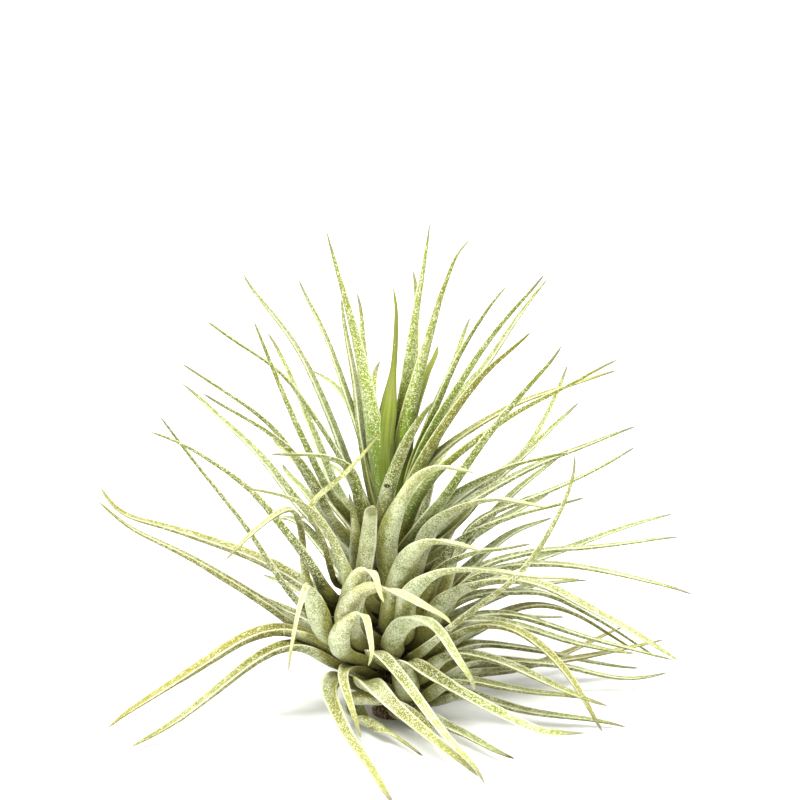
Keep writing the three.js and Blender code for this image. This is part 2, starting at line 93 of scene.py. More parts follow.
# %% Light
WORLD_LIGHT, WORLD_TINT = 1.0, (1, 1, 0.99, 1)
KEY_LIGHT, KEY_SOFTNESS = 5.6, math.radians(24)
KEY_TURN, KEY_FALL = math.radians(-32), math.radians(33)
FILL_LIGHT, FILL_SOFTNESS = 2.0, math.radians(50)
FILL_TURN, FILL_FALL = math.radians(62), math.radians(38)


def sun(name, strength, softness, turn, fall):
    """A far lamp: turn 0 shines from the front, fall is measured from straight down."""
    light = bpy.data.lights.new(name, "SUN")
    light.energy, light.angle = strength, softness
    holder = bpy.data.objects.new(name, light)
    bpy.context.scene.collection.objects.link(holder)
    holder.rotation_euler = (fall, 0, turn)
    return holder


sun("key", KEY_LIGHT, KEY_SOFTNESS, KEY_TURN, KEY_FALL)
sun("fill", FILL_LIGHT, FILL_SOFTNESS, FILL_TURN, FILL_FALL)

world = bpy.data.worlds.new("white room")
world.use_nodes = True
world.node_tree.nodes["Background"].inputs["Color"].default_value = WORLD_TINT
world.node_tree.nodes["Background"].inputs["Strength"].default_value = WORLD_LIGHT
bpy.context.scene.world = world
bpy.context.scene.view_settings.view_transform = "Standard"
print("lamps: 2, world:", WORLD_LIGHT)

# %% [markdown]
# ## Sums on sockets
# A leaf's colour depends on where on the leaf you look, so its material is arithmetic on
# attributes. Drawn by hand that is dozens of Math nodes. This small class wraps an output
# socket, and adding or multiplying two of them adds the node, so a mask reads as a formula.


# %% A socket that can be calculated with
class Wire:
    """An output socket; one without a socket only stands for its node tree."""

    def __init__(self, tree, socket=None):
        self.tree, self.socket = tree, socket

    def node(self, kind, settings=None, sockets=None, out=0):
        made = self.tree.nodes.new(kind)
        for key, value in (settings or {}).items():
            setattr(made, key, value)
        for key, value in (sockets or {}).items():
            self.plug(made.inputs[key], value)
        return Wire(self.tree, made.outputs[out])

    def plug(self, socket, value):
        if isinstance(value, Wire):
            self.tree.links.new(value.socket, socket)
        else:
            socket.default_value = value

    def maths(self, operation, a, b=0.0):
        return self.node("ShaderNodeMath", {"operation": operation}, {0: a, 1: b})

    def __add__(self, other): return self.maths("ADD", self, other)
    def __radd__(self, other): return self.maths("ADD", other, self)
    def __sub__(self, other): return self.maths("SUBTRACT", self, other)
    def __rsub__(self, other): return self.maths("SUBTRACT", other, self)
    def __mul__(self, other): return self.maths("MULTIPLY", self, other)
    def __rmul__(self, other): return self.maths("MULTIPLY", other, self)


def value_of(m, name):
    return m.node("ShaderNodeAttribute", {"attribute_name": name}, out="Fac")


def between(m, x, low, high):
    """0 below low, 1 above high and smooth in between; low may be the larger one."""
    return m.node("ShaderNodeMapRange", {"interpolation_type": "SMOOTHSTEP", "clamp": True},
                  {"Value": x, "From Min": low, "From Max": high})


def blend(m, factor, a, b):
    """Colour a where the factor is 0, colour b where it is 1."""
    a, b = [v if isinstance(v, Wire) else (*v, 1) for v in (a, b)]
    return m.node("ShaderNodeMix", {"data_type": "RGBA"}, {0: factor, 6: a, 7: b}, out=2)


def seen_as(r, g, b):
    """A colour as it looks on a screen, 0 to 255, turned into light."""
    return tuple(((c / 255 + 0.055) / 1.055) ** 2.4 for c in (r, g, b))


# %% [markdown]
# ## Floor
# The plant lies on a plain pale surface. One flat disc is enough, wide enough to reach past
# the picture, with a cloud in its colour that is too faint to draw the eye.

# %% Floor
FLOOR_RADIUS, FLOOR_SIDES = 200.0, 96
FLOOR_PALE, FLOOR_CLOUD = (0.86, 0.86, 0.85), 0.97


def new_material(name):
    """A material with its shader and a Wire to start its nodes from."""
    material = bpy.data.materials.new(name)
    material.use_nodes = True
    return material, material.node_tree.nodes["Principled BSDF"], Wire(material.node_tree)


def floor_material():
    material, shader, m = new_material("pale_floor")
    cloud = m.node("ShaderNodeTexNoise", sockets={"Scale": 3.0, "Detail": 2.0})
    m.plug(shader.inputs["Base Color"],
           blend(m, cloud, FLOOR_PALE, tuple(FLOOR_CLOUD * c for c in FLOOR_PALE)))
    shader.inputs["Roughness"].default_value = 0.9
    return material


def mesh_object(name, points, faces, material, values=None, smooth=True):
    """An object from points and faces; values become attributes that its material reads."""
    mesh = bpy.data.meshes.new(name)
    mesh.from_pydata(np.asarray(points, float).tolist(), [], faces)
    for key, numbers in (values or {}).items():
        layer = mesh.attributes.new(key, "FLOAT", "POINT")
        layer.data.foreach_set("value", np.asarray(numbers, np.float32))
    if smooth:
        mesh.shade_smooth()
    mesh.materials.append(material)
    made = bpy.data.objects.new(name, mesh)
    bpy.context.scene.collection.objects.link(made)
    return made


turns = np.linspace(0, 2 * math.pi, FLOOR_SIDES, endpoint=False)
rim = [[FLOOR_RADIUS * math.cos(t), FLOOR_RADIUS * math.sin(t), 0] for t in turns]
floor = mesh_object("floor", rim, [list(range(FLOOR_SIDES))], floor_material(), smooth=False)
print("floor:", FLOOR_RADIUS, "m to its rim")

# %% [markdown]
# ## The line of a leaf
# Every leaf follows one smooth line from its root to its tip. The older leaves are single
# solids, so their lines are read back from the rings of their solids. The young leaves and
# the leaves of the far side are one solid with the green axis, so their lines are drawn
# again from the places they pass, measured across, up and away from the eye.

# %% Smooth lines
TINY = 1e-6                                  # keeps a division from meeting nought


def seen(place):
    """The point in space that is seen at (across, up) and lies at a depth."""
    across, up, depth = place
    right, rise = (across - EYE_AIM[0]) / EYE_DISTANCE, (up - FOOT_DROP) / EYE_DISTANCE
    cos, sin = math.cos(EYE_TILT), math.sin(EYE_TILT)
    z = (rise * (EYE_DISTANCE + depth * cos) - depth * sin) / (cos + rise * sin)
    reach = EYE_DISTANCE + depth * cos - z * sin
    return np.array([EYE_AIM[0] + right * reach, depth, EYE_AIM[2] + z])


def smooth_line(places, fineness=40):
    """A centripetal Catmull-Rom line through the places."""
    p = np.asarray(places, float)
    p = np.vstack([2 * p[0] - p[1], p, 2 * p[-1] - p[-2]])
    line = []
    for a, b, c, d in zip(p, p[1:], p[2:], p[3:]):
        ab, bc, cd = [max(np.linalg.norm(v - u), TINY) ** 0.5
                      for u, v in ((a, b), (b, c), (c, d))]
        start = ((b - a) / ab - (c - a) / (ab + bc) + (c - b) / bc) * bc
        end = ((c - b) / bc - (d - b) / (bc + cd) + (d - c) / cd) * bc
        t = np.linspace(0, 1, fineness, endpoint=False)[:, None]
        line.append(b + start * t + (3 * (c - b) - 2 * start - end) * t**2
                    + (2 * (b - c) + start + end) * t**3)
    return np.vstack([*line, p[-2:-1]])


def spread(line, count, bend_pace=9.0):
    """Points along a line, evenly spaced but closer together where it bends."""
    steps = np.diff(line, axis=0)
    length = np.linalg.norm(steps, axis=1)
    heading = steps / length[:, None]
    bend = np.arccos(np.clip((heading[1:] * heading[:-1]).sum(1), -1, 1))
    pace = np.concatenate([[0], np.cumsum(length + bend_pace * np.concatenate([[0], bend]))])
    goal = np.linspace(0, pace[-1], count)
    return np.stack([np.interp(goal, pace, line[:, k]) for k in range(3)], axis=1)


def relaxed(line, step=0.5, passes=40):
    """The line with its kinks eased, between ends that stay where they are."""
    far = np.concatenate([[0], np.cumsum(np.linalg.norm(np.diff(line, axis=0), axis=1))])
    goal = np.linspace(0, far[-1], max(int(far[-1] / step), 8))
    line = np.stack([np.interp(goal, far, line[:, k]) for k in range(3)], axis=1)
    for _ in range(passes):
        line[1:-1] += (line[:-2] + line[2:] - 2 * line[1:-1]) * 0.25
    return line


# %% [markdown]
# ## Young leaves and leaves of the far side
# Each row is one leaf: the place where it comes free of the bulb, a place on its way and
# its tip, in millimetres as seen from the front. The far rows start at numbered roots of
# the spiral up the stem, so they keep clear of the single leaves.

# %% Where they go
YOUNG = [
    [[-2, 53, -4], [0, 72, -5], [1, 89, -6]],
    [[2, 60, -1], [4, 79, 1], [8, 103, 3]],
    [[3, 61, -3], [9, 84, -6], [15, 100, -9]],
    [[4, 66, 4], [5, 80, 8], [5, 93, 12]],
    [[4, 62, 6], [7, 71, 12], [10, 77, 20]],
    [[5, 55, -2], [16, 79, -3], [23, 89, -5]],
    [[8, 62, 7], [13, 74, 14], [16, 83, 20]],
    [[-3, 53, -3], [-8, 80, -6], [-14, 101, -10]],
    [[-5, 51, 2], [-8, 70, 5], [-11, 87, 8]],
    [[-4, 58, 5], [-6, 75, 12], [-7, 88, 18]],
    [[-6, 56, 3], [-14, 79, 8], [-20, 91, 12]],
    [[-5, 55, 6], [-10, 66, 18], [-16, 72, 32]],
    [[-7, 46, 3], [-18, 73, 8], [-32, 92, 12]],
    [[-7, 47, -1], [-22, 70, -2], [-39, 82, -4]],
    [[-12, 45, -7], [-19, 58, -11], [-29, 82, -16]],
    [[-11, 45, 9], [-17, 60, 17], [-26, 80, 26]],
    [[-16, 40, 12], [-29, 55, 24], [-44, 69, 34]],
    [[-6, 40, -9], [-9, 51, -15], [-14, 54, -21], [-25, 54, -34]],
    [[-12, 40, -5], [-25, 60, -9], [-44, 73, -14]],
    [[-11, 38, -8], [-21, 55, -19], [-40, 67, -30]],
    [[7, 57, -4], [22, 81, -8], [32, 92, -12]],
    [[8, 56, 3], [22, 77, 10], [32, 91, 16]],
    [[6, 52, -6], [18, 70, -14], [29, 80, -22]],
    [[-2, 40, -10], [1.5, 54, -17], [8, 65, -30]],
    [[9, 43, -9], [22, 61, -20], [36, 77, -30]],
    [[7, 48, -6], [24, 62, -12], [47, 74, -20]],
    [[7, 52, 2], [24, 64, 4], [47, 72, 6]],
    [[13, 40, 8], [25, 52, 17], [39, 65, 26]],
    [[12, 44, 10], [28, 55, 26], [37, 73, 38]],
    [[10, 44, -6], [22, 51, -17], [37, 55, -32]],
    [[13, 42, 3], [32, 53, 9], [51, 60, 14]],
    [[-3, 44, 8], [-5, 56, 24], [-7, 66, 40]],
    [[4, 42, 9], [9, 52, 28], [14, 58, 46]],
    [[-9, 40, 9], [-18, 50, 26], [-26, 58, 42]],
    [[10, 40, 9], [20, 49, 28], [30, 56, 42]],
    [[1, 36, 10], [2, 46, 28], [3, 51, 50]],
    [[-11, 37, 6], [-18, 46, 19], [-24, 52, 33]],
    [[13, 35, 7], [25, 42, 20], [33, 46, 32]],
    [[-2, 51, 6], [-4, 64, 17], [-4, 74, 29]],
    [[5, 51, 6], [12, 64, 17], [18, 72, 28]],
]
FAR = {
    45: [[6, 27, 12], [12, 41, 30], [18, 46, 48]],
    48: [[-7, 27, 12], [-15, 40, 27], [-22, 41, 45]],
    50: [[13, 28, 8], [24, 37, 18], [33, 41, 30]],
    53: [[0, 29, 13], [1, 43, 31], [-2, 45, 52]],
    56: [[-11, 30, 9], [-20, 40, 19], [-26, 41, 32]],
    58: [[8, 31, 11], [17, 46, 27], [28, 53, 42]],
    61: [[-4, 32, 12], [-8, 47, 28], [-14, 53, 46]],
    63: [[13, 33, 5], [25, 46, 12], [35, 54, 20]],
    66: [[4, 34, 12], [8, 50, 28], [10, 58, 46]],
}
OLIVE_YOUNG = {22: 0.6, 25: 0.6, 26: 0.8}                # rows that have aged to olive
BARE_YOUNG = {0: 0.96, 4: 0.8}                           # rows nearly without scales
YOUNG_SHAPE = {
    0: {"hold": 28, "waist": 0.4, "slim": 1.15, "tone": 0.0},
    1: {"hold": 22, "slim": 1.6, "blunt": 0.85},
    2: {"hook": -2.4, "hold": 20, "slim": 1.45, "blunt": 0.85},
    3: {"slim": 1.3}, 4: {"slim": 1.2}, 5: {"hook": -2.2, "slim": 1.1}, 6: {"slim": 1.1},
    7: {"hold": 22, "slim": 1.5, "blunt": 0.85}, 8: {"slim": 1.3},
    20: {"slim": 1.2}, 21: {"slim": 1.2}, 22: {"slim": 1.15},
    23: {"hold": 16, "slim": 0.95, "tone": 0.2},
}
print("rows, young and far:", len(YOUNG), len(FAR))

# %% [markdown]
# ## What sets one leaf apart
# All leaves are the same kind of thing, so one list of traits describes any of them, and a
# table says only where a leaf differs. That is easier to keep in order than a function for
# each kind of leaf.
#
# - hold: how far from the root a leaf keeps its full width, in millimetres; a young leaf
#   that gives none keeps it over a share of its length
# - waist: the share of that width where the blade begins
# - slim: the whole width against the usual, and blunt: how it tapers, where 1 is straight
# - full: 0 is an open gutter and 1 a nearly closed, round one
# - hook: how far the tip turns sideways, in millimetres; without it the turn is random
# - youth, olive, pale, bare: fresh green, ageing, blanched, and bald of scales, from 0 to 1
# - dead: how much of the tip has died, in millimetres, and below 0 none of it
# - tone: darker or lighter than most, from 0 to 1; without it the tone is random

# %% Traits and where leaves spring from
SHEATH_LENGTH = 8.0
TRAITS = {"hold": SHEATH_LENGTH, "waist": 0.68, "slim": 1.0, "blunt": 0.54, "full": 0.0,
          "youth": 0.0, "olive": 0.0, "pale": 0.0, "bare": 0.0, "dead": -2.0}
GOLDEN_ANGLE = math.radians(137.508)
STEM_WAIST, AXIS_TOP, STEM_HEIGHT = 3.6, 2.7, 15.0
ROOT_LOW, ROOT_HIGH, ROOT_COUNT = 2.2, 25.6, 67
ROOT_SEAT, ROOT_SUNK, ROOT_OUT, ROOT_RISE = 0.75, 1.6, 3.2, 0.42
HEART_TIP, HEART_ROOT_LOW, HEART_ROOT_HIGH, HEART_ROOT_DEPTH = 47.0, 29.5, 43.0, 0.8
YOUNG_HOLD, YOUNG_WAIST = 0.22, 0.86         # both are shares, of length and of width
YOUNG_WIDTH, YOUNG_NARROWING, FAR_WIDTH = 3.9, 0.6, 5.2
YOUTH_LEAST, YOUTH_PACE = 0.1, 1.1


def around(radius, turn, z):
    return np.array([radius * math.cos(turn), radius * math.sin(turn), z])


def azimuth(point):
    return math.atan2(point[1], point[0])


def axis_radius(z):
    return STEM_WAIST + (AXIS_TOP - STEM_WAIST) * z / ROOT_HIGH


def length_of(line):
    return np.linalg.norm(np.diff(line, axis=0), axis=1).sum()


def young_leaves():
    leaves = [{**TRAITS, "waist": YOUNG_WAIST, "hold": None,
               "places": [seen(place) for place in rows], "olive": OLIVE_YOUNG.get(i, 0.0),
               "bare": BARE_YOUNG.get(i, 0.0), **YOUNG_SHAPE.get(i, {})}
              for i, rows in enumerate(YOUNG)]
    leaves.sort(key=lambda leaf: leaf["places"][0][2])
    for i, leaf in enumerate(leaves):
        youth = i / (len(leaves) - 1)
        root_z = HEART_ROOT_LOW + (HEART_ROOT_HIGH - HEART_ROOT_LOW) * youth
        root = around(HEART_ROOT_DEPTH, azimuth(leaf["places"][0]), root_z)
        line = smooth_line([root, *leaf["places"]])
        leaf.update(line=line, hold=leaf["hold"] or YOUNG_HOLD * length_of(line),
                    width=YOUNG_WIDTH - YOUNG_NARROWING * youth,
                    youth=YOUTH_LEAST + (1 - YOUTH_LEAST) * youth**YOUTH_PACE)
    return leaves


def far_leaves():
    leaves = []
    for number, rows in FAR.items():
        turn = number * GOLDEN_ANGLE
        z = ROOT_LOW + (ROOT_HIGH - ROOT_LOW) * number / (ROOT_COUNT - 1)
        start = around(axis_radius(z) - ROOT_SUNK, turn, z)
        rising = around(axis_radius(z) + ROOT_SEAT + ROOT_OUT, turn, z + ROOT_OUT * ROOT_RISE)
        line = smooth_line([start, rising, *[seen(place) for place in rows]])
        leaves.append({**TRAITS, "line": line, "width": FAR_WIDTH, "youth": YOUTH_LEAST})
    return leaves


heart_leaves = young_leaves() + far_leaves()
print("leaves of the heart and the far side:", len(heart_leaves))


# %% [markdown]
# ## Older leaves
# Each of their solids is ten rings of six corners between two end points. Walking outward
# from the right end point meets one ring after another, and the middle of each ring is a
# place on the leaf's line.

# %% Read the rings back
RING_CORNERS = 6


def rings_of(node):
    """The rings of a leaf's solid, root first, as an array of ring, corner and x y z."""
    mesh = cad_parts[node].data
    corners = np.array([v.co for v in mesh.vertices]) / MM
    places, index = np.unique(np.round(corners, 3), axis=0, return_inverse=True)
    index = index.reshape(-1)
    beside = [set() for _ in places]
    for polygon in mesh.polygons:
        own = [int(index[v]) for v in polygon.vertices]
        for a in own:
            beside[a].update(own)
    ends = []
    for first in range(len(places)):
        if len(beside[first]) != RING_CORNERS + 1:
            continue
        levels, met = [[first]], {first}
        while levels[-1]:
            near = sorted(set().union(*(beside[v] for v in levels[-1])) - met)
            met.update(near)
            levels.append(near)
        sizes = [len(level) for level in levels[:-1]]
        if sizes[0] == sizes[-1] == 1 and set(sizes[1:-1]) == {RING_CORNERS}:
            ends.append(levels[1:-2])
    rings = min(ends, key=lambda level: np.hypot(*places[level[0]].mean(0)[:2]))
    return places[np.array(rings)]


def unit(arrows):
    return arrows / np.linalg.norm(arrows, axis=1)[:, None]


def sides_of(line, turn):
    """Along, across and out of the inner face, at every point of a line."""
    along = unit(np.gradient(line, axis=0))
    across = np.array([math.sin(turn), -math.cos(turn), 0])
    across = unit(across - along * (along @ across)[:, None])
    return along, across, np.cross(across, along)


print("rings of one leaf:", rings_of("leaf_front_1").shape)

# %% [markdown]
# ## Traits of the older leaves
# The lowest leaves have aged to olive, a few have browned tips, and the plump ones of the
# bulb keep their width up to where they bend over. Some front leaves hang with pale ends.

# %% Which older leaf differs, and how
OLIVE = {"leaf_left_8": 0.85, "leaf_right_14": 0.8, "leaf_right_17": 1.0, "leaf_right_18": 0.9,
         "leaf_right_21": 0.7, "leaf_right_23": 0.3, "leaf_left_5": 0.35, "leaf_left_3": 0.25,
         "leaf_left_6": 0.4, "leaf_left_7": 0.45, "leaf_left_9": 0.3,
         "leaf_front_8": 0.25, "leaf_front_9": 0.3, "leaf_front_10": 0.3, "leaf_front_11": 0.3,
         "leaf_front_12": 0.3}

SHAPE = {
    "leaf_front_1": {"hold": 24, "waist": 1.0, "slim": 0.7, "blunt": 0.5, "full": 1.0,
                     "tone": 0.25, "pale": 0.3},
    "leaf_front_2": {"hold": 22, "waist": 0.7},
    "leaf_front_3": {"hold": 22, "waist": 0.4, "pale": 1.0},
    "leaf_front_4": {"hold": 20, "waist": 0.55, "pale": 0.9},
    "leaf_front_5": {"hold": 19, "waist": 0.4, "slim": 0.9, "pale": 0.6},
    "leaf_front_6": {"hold": 22, "waist": 0.6, "slim": 0.82, "full": 0.5, "pale": 0.3},
    "leaf_front_7": {"slim": 0.85, "pale": 0.25},
    "leaf_front_8": {"hold": 14, "slim": 0.85, "pale": 0.25},
    "leaf_front_9": {"slim": 0.85, "pale": 0.25},
    "leaf_front_10": {"slim": 0.85, "pale": 0.2, "dead": 1.0},
    "leaf_front_11": {"hold": 12, "slim": 0.85, "pale": 0.25},
    "leaf_front_12": {"slim": 0.85, "pale": 0.25},
    "leaf_left_10": {"hold": 24, "waist": 0.26, "slim": 1.3, "pale": 0.4},
    "leaf_left_5": {"slim": 0.9, "pale": 0.5},
    "leaf_left_4": {"hold": 20, "slim": 0.85, "pale": 0.6},
    "leaf_left_3": {"hold": 16, "slim": 0.85, "pale": 0.4},
    "leaf_left_2": {"hold": 14}, "leaf_left_1": {"hold": 12},
    "leaf_left_6": {"hold": 12, "waist": 0.85, "tone": 0.1},
    "leaf_left_7": {"hold": 14, "waist": 0.9, "tone": 0.1},
    "leaf_left_8": {"hold": 14, "waist": 0.95, "tone": 0.2},
    "leaf_left_9": {"hold": 14, "waist": 0.9, "tone": 0.2},
    "leaf_right_1": {"hold": 24, "slim": 0.85, "pale": 0.8},
    "leaf_right_2": {"hold": 24, "slim": 0.82, "pale": 0.9},
    "leaf_right_3": {"hold": 20, "slim": 0.88, "pale": 0.8},
    "leaf_right_4": {"hold": 20, "slim": 0.88, "pale": 0.8},
    "leaf_right_7": {"slim": 0.7, "pale": 0.5}, "leaf_right_12": {"hold": 18, "pale": 0.3},
    "leaf_right_17": {"dead": 2.2}, "leaf_right_23": {"dead": 3.0}, "leaf_right_26": {"dead": 1.6},
}
print("older leaves that differ:", len({*OLIVE, *SHAPE}))

# %% Older leaves from their rings
DIP_FROM, DIP_SHARE = 0.8, 0.2               # how deep a solid is hollowed, by its width
FACING_RING = 2                              # the ring that has just come free of the stem


def older_leaf(node):
    rings = rings_of(node)
    middle = rings.mean(1)
    along, across, up = sides_of(middle, azimuth(middle[FACING_RING]))
    reach = np.einsum("rcx,rx->rc", rings - middle[:, None], across)
    widths = reach.max(1) - reach.min(1)
    dip = DIP_SHARE * np.maximum(widths - DIP_FROM, 0)
    line = relaxed(smooth_line(middle + up * dip[:, None] / 3))
    return {**TRAITS, "name": node, "line": line, "width": float(widths.max()),
            "olive": OLIVE.get(node, 0.0), **SHAPE.get(node, {})}


older_leaves = [older_leaf(node) for node in sorted(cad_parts) if node.startswith("leaf_")]
print("older leaves:", len(older_leaves),
      "widths:", sorted({round(leaf["width"], 1) for leaf in older_leaves}))

# %% [markdown]
# ## How broad a leaf is
# At the base a leaf is broad and clasps its neighbours. Past the bend it falls to a narrow
# blade, and the blade runs out to a tip as thin as a hair. A slight ripple keeps the edges
# from looking drawn with a ruler.

# %% Width along a leaf
STATIONS = 64                                # rings along a leaf
SIDES = 20                                   # corners of each ring
NECK_LENGTH = 12.0                           # from the plump base to the narrow blade
TIP_WIDTH = 0.24
FULLNESS = 1.05                              # the leaves against their solids
RIPPLE, RIPPLE_LENGTH = 0.025, 9
ROOT_SHARE, SHEATH_SWELL = 0.78, 0.22        # width at the very root, and what comes on top


def smooth_step(t):
    t = np.clip(t, 0, 1)
    return t * t * (3 - 2 * t)


def wave(t, seed, count=4):
    """A gentle wandering between about -1 and 1, other for each seed."""
    own = np.random.default_rng(seed)
    waves = [own.uniform(-1, 1) * np.sin(t * own.uniform(2, 5) * (k + 1) + own.uniform(0, 6.28))
             for k in range(count)]
    return sum(waves) / math.sqrt(count)


def width_along(leaf, far, seed):
    """How broad a leaf is at each distance from its root, in millimetres."""
    left = np.clip((far[-1] - far) / (far[-1] - leaf["hold"]), 0, 1)
    neck = 1 - smooth_step((far - leaf["hold"]) / NECK_LENGTH)
    share = leaf["waist"] * left ** leaf["blunt"] + (1 - leaf["waist"]) * neck * (left > 0)
    share *= ROOT_SHARE + SHEATH_SWELL * smooth_step(far / SHEATH_LENGTH)
    sheath = FULLNESS * leaf["width"] * leaf["slim"]
    width = TIP_WIDTH + (sheath - TIP_WIDTH) * share
    return width * (1 + RIPPLE * wave(far / RIPPLE_LENGTH, seed))


print("width of one leaf:", np.round(width_along(older_leaves[0], np.linspace(0, 70, 8), 0), 1))

# %% [markdown]
# ## The section of a leaf
# A leaf of this plant is a gutter: round and plump outside, hollowed inside, with blunt
# edges. The section is an arc with a thickness, and both depend on how broad the leaf is
# there, so the gutter thins out on its way to the tip.

# %% The gutter
THICK_LEAST, THICK_SHARE, THICK_MOST = 0.32, 0.28, 0.82  # mm, then shares of the width
FOLD_BLADE, FOLD_BASE_MORE = 60, 25          # half the turn of the arc, in degrees
FOLD_FROM, FOLD_OVER = 1.2, 3.2              # widths over which the fold grows
FULL_THICKER, FULL_FLATTER, YOUNG_FLATTER = 0.4, 0.6, 0.3
KEEL_FROM, KEEL_SHARE = 0.8, 0.2
EDGE_BULGE, EDGE_POWER = 0.3, 9              # the blunt rim, felt only at the very edge


def gutter(leaf, width):
    """Each corner's place across the leaf, its sideways and upward reach, and the middle."""
    full = leaf["full"]
    thick = np.minimum(THICK_MOST * width,
                       THICK_LEAST + (THICK_SHARE + FULL_THICKER * full) * width)
    wide = smooth_step((width - FOLD_FROM) / FOLD_OVER)
    fold = np.radians(FOLD_BLADE + FOLD_BASE_MORE * wide) * (1 - FULL_FLATTER * full)
    fold *= 1 - YOUNG_FLATTER * leaf["youth"]
    keel = thick / 2 + KEEL_SHARE * np.maximum(width - KEEL_FROM, 0)
    half = SIDES // 2
    row = np.cos(np.linspace(0, math.pi, half + 1))[:-1]
    u, face = np.concatenate([-row, row]), np.repeat([-1.0, 1.0], half)
    radius = (width - thick * 0.6) / 2 / np.sin(fold)
    turn = u[None] * fold[:, None]
    offset = face * np.sqrt(np.maximum(1 - u**2, 0)) * thick[:, None] / 2
    reach = radius[:, None] - offset
    sideways = reach * np.sin(turn) + thick[:, None] * EDGE_BULGE * u[None] ** EDGE_POWER
    upward = radius[:, None] - reach * np.cos(turn) + thick[:, None] / 2 - keel[:, None]
    return u, sideways, upward, thick / 2 - keel


print("corners across a leaf:", np.round(gutter(TRAITS, np.array([5.0]))[0][:SIDES // 2], 2))

# %% [markdown]
# ## Sweep a leaf
# The section is swept along the leaf's line as a grid of points. That is easier to control
# than a bevelled curve, because the gutter changes on its way, and each point can carry the
# numbers that the material asks for: how far it is from the root, how close to an edge.

# %% One closed leaf
FACING_SHARE = 0.22                          # the leaf faces the way this part of it lies
CURL_LENGTH, CURL_MOST = 6.0, 1.2
WANDER, WANDER_LENGTH = 0.2, 30
ROOT_POKE, TIP_POKE = 0.2, 0.25              # how far the end points stand out
LOW_FROM, LOW_OVER = 16, 12                  # roots below this height lie in the shade
BOX_INSET = 0.5
BOX_LOW, BOX_HIGH = [np.array(corner) / MM + inset
                     for corner, inset in zip(solid_box, (BOX_INSET, -BOX_INSET))]


def tube_faces(rings, sides):
    """The faces of a tube whose points are its rings, then its two ends."""
    faces = []
    for i in range(rings - 1):
        for j in range(sides):
            k = (j + 1) % sides
            a, b = i * sides, (i + 1) * sides
            faces.append((a + j, b + j, b + k, a + k))
    last, ends = (rings - 1) * sides, rings * sides
    for j in range(sides):
        k = (j + 1) % sides
        faces += [(ends, j, k), (ends + 1, last + k, last + j)]
    return faces


def with_ends(numbers, at_root, at_tip):
    return np.concatenate([np.broadcast_to(numbers, (STATIONS, SIDES)).reshape(-1),
                           [at_root, at_tip]])


def leaf_values(leaf, far, u):
    """What the material asks for, at every point of a leaf."""
    length = far[-1]
    neck = smooth_step((far - leaf["hold"] - 3) / NECK_LENGTH)
    values = {"far": with_ends(far[:, None], 0, length),
              "left": with_ends((1 - far / length)[:, None], 1, 0),
              "end": with_ends((length - far)[:, None], length, 0),
              "across": with_ends(u[None], 0, 0),
              "plump": with_ends(1 - neck[:, None], 1, 0)}
    for key in ("youth", "olive", "bare", "tone", "pale", "low", "dead"):
        values[key] = np.full(STATIONS * SIDES + 2, leaf[key])
    return values


def swept_leaf(leaf, seed):
    """Points, faces and values of one closed leaf."""
    line = spread(leaf["line"], STATIONS)
    far = np.concatenate([[0], np.cumsum(np.linalg.norm(np.diff(line, axis=0), axis=1))])
    facing = azimuth(leaf["line"][int(len(leaf["line"]) * FACING_SHARE)])
    along, across, up = sides_of(line, facing)
    own = np.random.default_rng(seed)
    curl = own.uniform(-CURL_MOST, CURL_MOST)
    tip_share = np.clip(1 - (far[-1] - far) / CURL_LENGTH, 0, 1) ** 2
    curl = leaf.get("hook", curl) * tip_share[:, None]
    line = np.clip(line + across * curl, BOX_LOW, BOX_HIGH)

    u, sideways, upward, middle = gutter(leaf, width_along(leaf, far, seed))
    grid = (line[:, None] + across[:, None] * sideways[:, :, None]
            + up[:, None] * upward[:, :, None])
    wander = np.stack([wave(far / WANDER_LENGTH, seed + k, 2) for k in (11, 12, 13)], 1)
    grid += (wander * WANDER * smooth_step(far / WANDER_LENGTH)[:, None])[:, None]
    root = line[0] - along[0] * ROOT_POKE
    tip = line[-1] + along[-1] * TIP_POKE + wander[-1] * WANDER + up[-1] * middle[-1]
    points = np.vstack([grid.reshape(-1, 3), root, tip])

    leaf.setdefault("tone", own.uniform(0, 1))
    leaf["low"] = float(smooth_step((LOW_FROM - line[0][2]) / LOW_OVER) * (1 - leaf["pale"]))
    return points, tube_faces(STATIONS, SIDES), leaf_values(leaf, far, u)


LEAF_SEED = 200
all_leaves = older_leaves + heart_leaves
swept = [swept_leaf(leaf, LEAF_SEED + number) for number, leaf in enumerate(all_leaves)]
print("leaves swept:", len(swept), "points in each:", len(swept[0][0]))

# %% [markdown]
# ## Where leaves crowd
# Deep between the leaves no raised scales stand, and the colour there is darkened to a warm
# olive as painted shade. To know how deep a place lies, the space is cut into small cubes, the
# cubes that hold some leaf are marked and blurred, and each point reads how full its
# surroundings are. That is much quicker than sending rays out from every point.

# %% How full the surroundings are
CUBE = 1.5
BLUR_ROUNDS = 3
LOOK_OUT = 2.2                               # how far outside the leaf to look
BLOCK_MARGIN = 6


def fullness_of(points):
    """A block of cubes with the share of leaf near each, and the corner it starts from."""
    corner = points.min(0) - BLOCK_MARGIN
    cubes = ((points - corner) / CUBE).astype(int)
    block = np.zeros(cubes.max(0) + BLOCK_MARGIN)
    block[tuple(cubes.T)] = 1.0
    for _ in range(BLUR_ROUNDS):
        for axis in range(3):
            block = (np.roll(block, 1, axis) + block + np.roll(block, -1, axis)) / 3
    return block, corner


